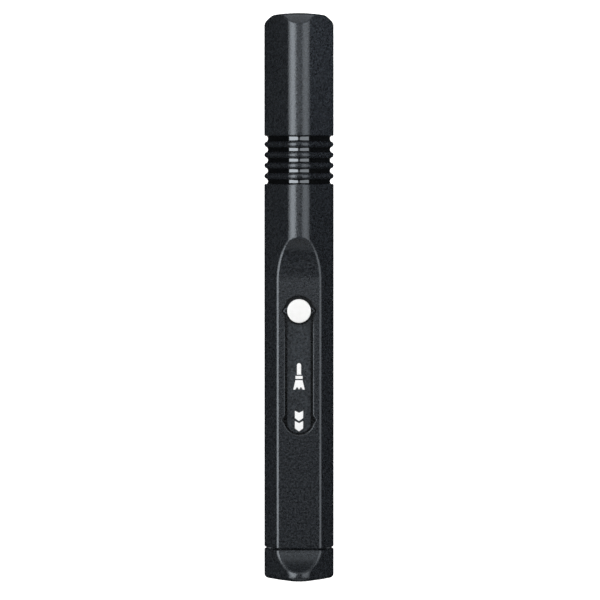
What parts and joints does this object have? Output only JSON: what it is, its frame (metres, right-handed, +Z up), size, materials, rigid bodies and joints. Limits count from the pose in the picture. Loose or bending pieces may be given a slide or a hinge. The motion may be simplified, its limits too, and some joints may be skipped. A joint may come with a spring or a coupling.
{
  "type": "lens cleaning pen",
  "caption": "Rounded-triangular lens cleaning pen with a brush that slides out at one end under a thumb button, and a flexible cleaning tip under a pull-off cap at the other.",
  "frame": {"origin": "under the middle of the pen's length, on the plane that its flat back rests on", "axes": "+Y along the pen towards the cap, +Z up out of the side with the thumb button, +X across"},
  "size_m": [0.014, 0.1142, 0.0128],
  "materials": {
    "casing_plastic": "moulded ABS, black, fine satin spark texture",
    "grip_plastic": "moulded ABS, black, polished",
    "slide_plastic": "moulded acetal, black, fine satin texture, with white pad-printed marks",
    "button_plastic": "moulded ABS, white, satin",
    "spring_wire": "drawn spring wire",
    "ferrule_metal": "drawn aluminium tube",
    "brush_hair": "soft natural hair, dark brown",
    "soft_rubber": "moulded rubber, black, matt",
    "pad_suede": "synthetic suede, black",
    "carbon_foam": "dense foam loaded with carbon powder",
    "inner_plastic": "moulded polypropylene, grey"
  },
  "bodies": {
    "barrel": {"barrel_shell": "casing_plastic", "nose_cap": "casing_plastic", "grip_neck": "grip_plastic", "grip_ring_1": "casing_plastic", "grip_ring_2": "casing_plastic", "grip_ring_3": "casing_plastic", "grip_ring_4": "casing_plastic", "tip_stem": "soft_rubber"},
    "slider": {"brush_carriage": "slide_plastic", "slider_button": "button_plastic", "detent_spring": "spring_wire", "brush_ferrule": "ferrule_metal", "brush_plug": "inner_plastic", "brush_bristles": "brush_hair"},
    "tip": {"tip_head": "soft_rubber", "tip_pad": "pad_suede"},
    "seal": {"cap_seal_ring": "soft_rubber"},
    "cap": {"cap_shell": "casing_plastic", "carbon_cartridge": "inner_plastic", "carbon_sponge": "carbon_foam"}
  },
  "joints": [
    {"name": "brush_slide", "type": "slide", "parent": "barrel", "child": "slider", "axis": [0, -1, 0], "range_m": [0, 0.022], "deforming": ["detent_spring"]},
    {"name": "tip_tilt", "type": "hinge", "parent": "barrel", "child": "tip", "pos_m": [0, 0.0408, 0.00518], "axis": [1, 0, 0], "range_deg": [-6, 6], "stiffness_Nm_per_rad": 0.002, "deforming": ["tip_stem"]},
    {"name": "cap_twist", "type": "hinge", "parent": "barrel", "child": "seal", "pos_m": [0, 0.0353, 0.00518], "axis": [0, 1, 0], "continuous": true},
    {"name": "cap_pull", "type": "slide", "parent": "seal", "child": "cap", "axis": [0, 1, 0], "range_m": [0, 0.03]}
  ]
}
